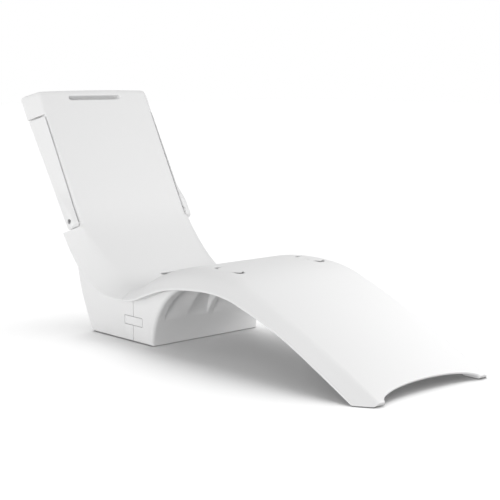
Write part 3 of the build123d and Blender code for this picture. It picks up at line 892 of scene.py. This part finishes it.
def ridge_tree():
    """Nodes that set ridges round a disc's rim."""
    tree, given, made = empty_tree(
        "ridges round a rim",
        ("Count", "Int", 24),
        ("Rim Radius", "Float", 0.0168),
        ("Ridge Radius", "Float", 0.0009),
        ("Ridge Length", "Float", 0.003),
        ("Centre", "Vector", (0, 0, 0)),
        ("Finish", "Material", None),
    )
    nodes, links = tree.nodes, tree.links
    rim = nodes.new("GeometryNodeMeshCircle")
    ridge = nodes.new("GeometryNodeMeshCylinder")
    ridge.inputs["Vertices"].default_value = 12
    spread = nodes.new("GeometryNodeInstanceOnPoints")
    spin = nodes.new("GeometryNodeTransform")
    spin.inputs["Rotation"].default_value = (0, math.pi / 2, 0)
    links.new(given.outputs["Count"], rim.inputs["Vertices"])
    links.new(given.outputs["Rim Radius"], rim.inputs["Radius"])
    links.new(given.outputs["Ridge Radius"], ridge.inputs["Radius"])
    links.new(given.outputs["Ridge Length"], ridge.inputs["Depth"])
    links.new(rim.outputs["Mesh"], spread.inputs["Points"])
    links.new(ridge.outputs["Mesh"], spread.inputs["Instance"])
    links.new(spread.outputs["Instances"], spin.inputs["Geometry"])
    links.new(given.outputs["Centre"], spin.inputs["Translation"])
    realized_and_painted(tree, spin.outputs["Geometry"], given.outputs["Finish"], made)
    return tree


def tread_tree():
    """Nodes that set a row of bars across a pad."""
    tree, given, made = empty_tree(
        "tread bars",
        ("Count", "Int", 8),
        ("Start", "Vector", (0, 0, 0)),
        ("Step", "Vector", (0, 0.006, 0)),
        ("Bar Size", "Vector", (0.03, 0.003, 0.0016)),
        ("Finish", "Material", None),
    )
    nodes, links = tree.nodes, tree.links
    line = nodes.new("GeometryNodeMeshLine")
    bar = nodes.new("GeometryNodeMeshCube")
    spread = nodes.new("GeometryNodeInstanceOnPoints")
    join = nodes.new("GeometryNodeJoinGeometry")
    links.new(given.outputs["Count"], line.inputs["Count"])
    links.new(given.outputs["Start"], line.inputs["Start Location"])
    links.new(given.outputs["Step"], line.inputs["Offset"])
    links.new(given.outputs["Bar Size"], bar.inputs["Size"])
    links.new(line.outputs["Mesh"], spread.inputs["Points"])
    links.new(bar.outputs["Mesh"], spread.inputs["Instance"])
    links.new(spread.outputs["Instances"], join.inputs["Geometry"])
    links.new(given.outputs["Geometry"], join.inputs["Geometry"])
    realized_and_painted(tree, join.outputs["Geometry"], given.outputs["Finish"], made)
    return tree


def node_piece(thing, tree, values):
    """Runs a node tree on a piece with its inputs set by identifier, and keeps the plain mesh."""
    step = thing.modifiers.new("nodes", "NODES")
    step.node_group = tree
    known = {item.name: item.identifier for item in tree.interface.items_tree if item.in_out == "INPUT"}
    for label, value in values.items():
        step[known[label]] = value
    bake(thing)


TREAD_STEP = 6


def pad_body(centre, half):
    """Points and faces of a grip pad with the peg that holds it in the underside."""
    corner = 8.0 if half.y > 25 else 6.0
    layers = []
    for z, inset in ((1.6, 1.2), (2.0, 0.4), (2.8, 0.0), (5.6, 0.0), (6.0, 0.4)):
        ring = rounded_outline(
            (centre.x - half.x + inset, centre.y - half.y + inset),
            (centre.x + half.x - inset, centre.y + half.y - inset),
            [corner - inset] * 4,
        )
        layers.append(np.stack([ring[:, 0], ring[:, 1], np.full(len(ring), z)], -1))
    a = np.arctan2(layers[0][:, 1] - centre.y, layers[0][:, 0] - centre.x)
    for z, radius in ((6.0, 5.0), (14.2, 5.0), (15.0, 4.2)):
        peg = (centre.x + radius * np.cos(a), centre.y + radius * np.sin(a), np.full(len(a), z))
        layers.append(np.stack(peg, -1))
    return loft(layers)


class LOUNGER_OT_treads(bpy.types.Operator):
    """Grip pads with tread bars, and the ridges round the plugs"""

    bl_idname = "lounger.treads"
    bl_label = "Treads and ridges"

    def execute(self, context):
        bars, ridges = tread_tree(), ridge_tree()
        for node in [n for n in frame["nodes"] if n.endswith("_pad")]:
            low, high = (Vector(corner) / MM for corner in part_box(node))
            centre, half = (low + high) / 2, (high - low) / 2
            pad = new_object(f"{node}_tread", *pad_body(centre, half), finishes()["grip"])
            outward(pad)
            count = int((2 * half.y - 12) / TREAD_STEP) + 1
            node_piece(
                pad,
                bars,
                {
                    "Count": count,
                    "Start": (centre.x * MM, (centre.y - TREAD_STEP / 2 * (count - 1)) * MM, 0.0011),
                    "Step": (0, TREAD_STEP * MM, 0),
                    "Bar Size": ((2 * half.x - 8) * MM, 0.0032, 0.0022),
                    "Finish": finishes()["grip"],
                },
            )
            outward(pad)
            soften(pad, SHARP_RUBBER)
            finish_piece(pad, "shell", "grip", node)
        for end in ("front", "rear"):
            low, high = (Vector(corner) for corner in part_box(f"{end}_plug"))
            rim = new_object(f"{end}_plug_ridges", np.zeros((0, 3)), [], None)
            node_piece(
                rim,
                ridges,
                {
                    "Count": 28,
                    "Rim Radius": 0.0167,
                    "Ridge Radius": 0.0007,
                    "Ridge Length": 0.0034,
                    "Centre": (0.2691, (low.y + high.y) / 2, (low.z + high.z) / 2),
                    "Finish": finishes()["fitting"],
                },
            )
            soften(rim, SHARP_RUBBER)
            finish_piece(rim, f"{end}_plug", "fitting")
        return {"FINISHED"}


def seen_directly(nodes, links):
    """A value of 1 for camera, glossy and transmission rays, and 0 for the rest."""
    path = nodes.new("ShaderNodeLightPath")
    value = path.outputs["Is Camera Ray"]
    for kind in ("Is Glossy Ray", "Is Transmission Ray"):
        either = nodes.new("ShaderNodeMath")
        either.operation = "MAXIMUM"
        links.new(value, either.inputs[0])
        links.new(path.outputs[kind], either.inputs[1])
        value = either.outputs[0]
    return value


def show_directly(tree, shown, lit, output):
    """Gives one shader to rays that show a thing directly and another to rays that light other things."""
    mix = tree.nodes.new("ShaderNodeMixShader")
    tree.links.new(seen_directly(tree.nodes, tree.links), mix.inputs["Fac"])
    tree.links.new(lit, mix.inputs[1])
    tree.links.new(shown, mix.inputs[2])
    tree.links.new(mix.outputs["Shader"], tree.nodes[output].inputs["Surface"])


def floor_material(color):
    """A plain matt floor that throws back less light than it shows."""
    made = make_material("floor", color, 0.9, specular=0.0)
    dull = made.node_tree.nodes.new("ShaderNodeBsdfDiffuse")
    dull.inputs["Color"].default_value = (0.57, 0.57, 0.57, 1)
    shown = made.node_tree.nodes["Principled BSDF"].outputs["BSDF"]
    show_directly(made.node_tree, shown, dull.outputs["BSDF"], "Material Output")
    return made


def studio_world(level):
    """An even light that looks plain white wherever it is seen directly."""
    world = bpy.data.worlds.new("studio")
    world.use_nodes = True
    shown = world.node_tree.nodes["Background"]
    shown.inputs["Color"].default_value = (1, 1, 1, 1)
    lit = world.node_tree.nodes.new("ShaderNodeBackground")
    lit.inputs["Color"].default_value = (1, 1, 1, 1)
    lit.inputs["Strength"].default_value = level
    show_directly(world.node_tree, shown.outputs["Background"], lit.outputs["Background"], "World Output")
    return world


def floor_link(thing, floor, state):
    """Lets a lamp light the floor alone, or everything but the floor."""
    group = bpy.data.collections.new(f"{thing.name} on the floor")
    group.objects.link(floor)
    group.collection_objects[0].light_linking.link_state = state
    thing.light_linking.receiver_collection = group


def sun_lamp(name, level, heading, height, spread):
    """A far lamp: heading turns from the foot end towards the near side, all in degrees."""
    lamp = bpy.data.lights.new(name, "SUN")
    lamp.energy, lamp.angle = level, math.radians(spread)
    across, up = math.radians(heading), math.radians(height)
    level_part = math.cos(up)
    toward = Vector((math.sin(across) * level_part, math.cos(across) * level_part, -math.sin(up)))
    return aimed(bpy.data.objects.new(name, lamp), toward)


def panel_lamp(name, power, size, spot, target):
    """A round panel over a spot, aimed at a target, that isn't seen itself."""
    lamp = bpy.data.lights.new(name, "AREA")
    lamp.energy, lamp.shape, lamp.size = power, "DISK", size
    thing = bpy.data.objects.new(name, lamp)
    thing.location = spot
    thing.visible_camera = False
    return aimed(thing, Vector(target) - thing.location)


def aimed(thing, toward):
    """Turns a lamp or camera along a direction and links it."""
    thing.rotation_euler = toward.to_track_quat("-Z", "Y").to_euler()
    bpy.context.scene.collection.objects.link(thing)
    return thing


# The camera's place and direction, and the half size of the floor, in metres
EYE, EYE_TOWARD, LENS = (-2.976, (-2391 + FOOT_Y) * MM, 1.008), (0.6664, 0.7316, -0.1438), 87.55
FLOOR_REACH = 30.0


class LOUNGER_OT_stage(bpy.types.Operator):
    """White floor, soft light and the camera"""

    bl_idname = "lounger.stage"
    bl_label = "Stage"

    def execute(self, context):
        scene = context.scene
        stage = scene.lounger_stage
        reach = FLOOR_REACH / MM
        corners = [(-reach, -reach, 0), (reach, -reach, 0), (reach, reach, 0), (-reach, reach, 0)]
        floor = new_object("floor", corners, [(0, 1, 2, 3)], floor_material(stage.floor_color))
        scene.world = studio_world(stage.sky)
        for name, level, heading, height, spread, state in (
            ("floor lamp", stage.floor_lamp, -138, 60, 60, "INCLUDE"),
            ("floor fill", stage.floor_fill, 0, 90, 170, "INCLUDE"),
            ("front lamp", stage.front_lamp, 60, 5, 20, "EXCLUDE"),
            ("near lamp", stage.near_lamp, 90, 6, 40, "EXCLUDE"),
            ("far lamp", stage.far_lamp, -60, 25, 40, "EXCLUDE"),
        ):
            floor_link(sun_lamp(name, level, heading, height, spread), floor, state)
        leg_lamp = panel_lamp("leg lamp", stage.leg_lamp, 0.9, (0.75, -1.25, 1.15), (0, -0.5, 0.2))
        floor_link(leg_lamp, floor, "EXCLUDE")
        scene.view_settings.view_transform = "Standard"
        camera = bpy.data.cameras.new("camera")
        camera.sensor_fit, camera.sensor_width, camera.lens = "HORIZONTAL", 36.0, LENS
        camera.clip_end = 200.0
        eye = bpy.data.objects.new("camera", camera)
        eye.location = EYE
        scene.camera = aimed(eye, Vector(EYE_TOWARD))
        return {"FINISHED"}


STEPS = (
    LOUNGER_OT_front_section,
    LOUNGER_OT_rear_section,
    LOUNGER_OT_arms,
    LOUNGER_OT_fittings,
    LOUNGER_OT_treads,
    LOUNGER_OT_stage,
)


class LOUNGER_PT_panel(bpy.types.Panel):
    """Lists the lounger's pieces and settings"""

    bl_idname = "LOUNGER_PT_panel"
    bl_label = "Lounger"
    bl_space_type = "VIEW_3D"
    bl_region_type = "UI"
    bl_category = "Lounger"

    def draw(self, context):
        for label, _ in GROUPS:
            settings = getattr(context.scene, label)
            box = self.layout.box()
            for setting in settings.__annotations__:
                box.prop(settings, setting)
        for step in STEPS:
            self.layout.operator(step.bl_idname)


GROUPS = (
    ("lounger_shape", LoungerShape),
    ("lounger_look", LoungerLook),
    ("lounger_stage", LoungerStage),
)


def register():
    """Registers the settings, steps and panel."""
    for label, group in GROUPS:
        bpy.utils.register_class(group)
        setattr(bpy.types.Scene, label, bpy.props.PointerProperty(type=group))
    for step in STEPS:
        bpy.utils.register_class(step)
    bpy.utils.register_class(LOUNGER_PT_panel)


def unregister():
    """Takes the panel, steps and settings out again."""
    bpy.utils.unregister_class(LOUNGER_PT_panel)
    for step in reversed(STEPS):
        bpy.utils.unregister_class(step)
    for label, group in reversed(GROUPS):
        delattr(bpy.types.Scene, label)
        bpy.utils.unregister_class(group)


def main():
    """Builds everything in order."""
    register()
    bpy.ops.lounger.front_section()
    bpy.ops.lounger.rear_section()
    bpy.ops.lounger.arms()
    bpy.ops.lounger.fittings()
    bpy.ops.lounger.treads()
    bpy.ops.lounger.stage()


if __name__ == "__main__":
    main()
